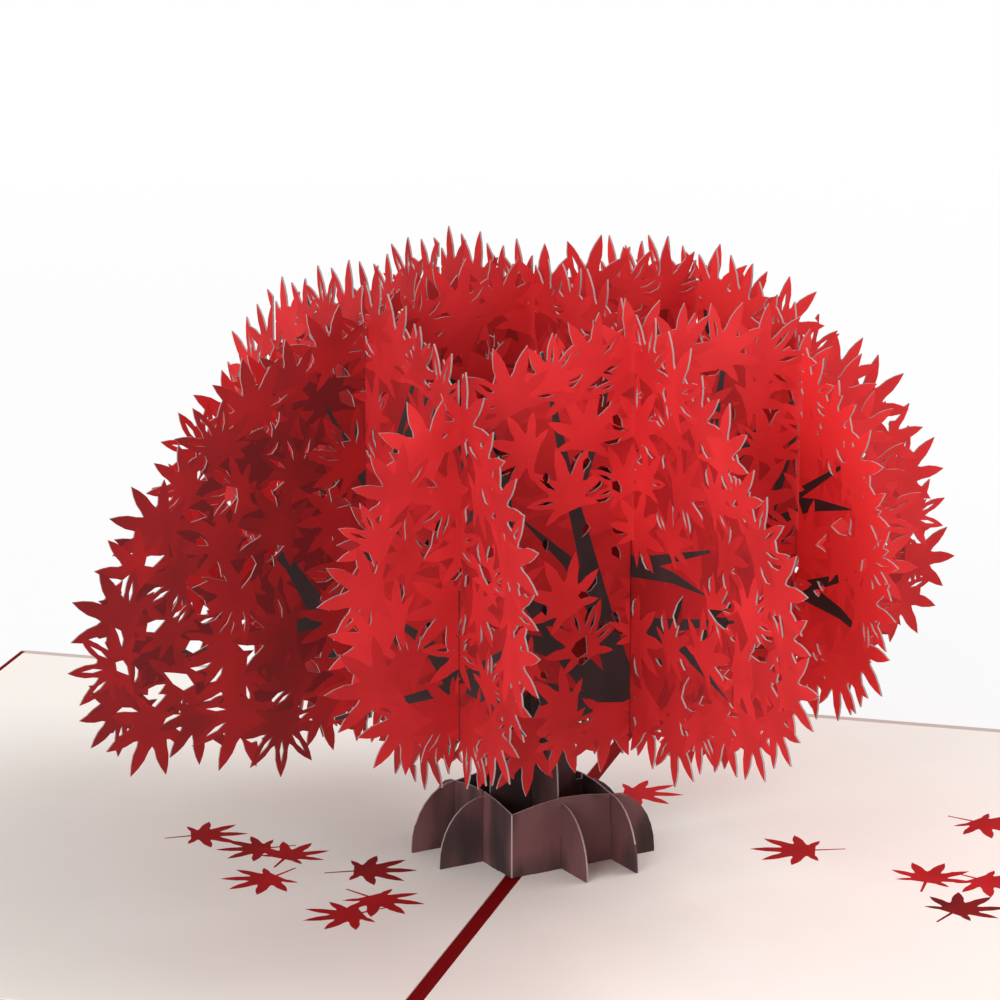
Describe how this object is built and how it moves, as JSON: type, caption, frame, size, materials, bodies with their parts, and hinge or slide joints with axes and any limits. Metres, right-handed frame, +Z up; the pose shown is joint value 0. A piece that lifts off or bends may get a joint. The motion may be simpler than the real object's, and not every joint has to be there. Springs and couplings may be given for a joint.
{
  "type": "pop-up greeting card",
  "caption": "Greeting card open flat with a slotted paper maple tree standing over its spine and autumn leaves printed on the cream pages.",
  "frame": {"origin": "middle of the opened cover's outside face, on the surface it lies on", "axes": "+X across the spine to the right page, +Y along the spine away from the reader, +Z up"},
  "size_m": [0.254, 0.178, 0.1067],
  "materials": {
    "red_card": "uncoated dyed card",
    "cream_paper": "uncoated cream paper with printed leaves",
    "bark_print": "brown bark print on laser-cut card",
    "leaf_print": "red leaf print on laser-cut card, light grey cut edges"
  },
  "bodies": {
    "root": {"cover": "red_card", "liner_left": "cream_paper", "liner_right": "cream_paper", "root_strip_front": "bark_print", "root_strip_back": "bark_print", "leaf_sheet_a_front": "leaf_print", "leaf_sheet_a_centre": "leaf_print", "leaf_sheet_a_back": "leaf_print", "leaf_sheet_b_left": "leaf_print", "leaf_sheet_b_centre": "leaf_print", "leaf_sheet_b_right": "leaf_print"}
  },
  "joints": []
}
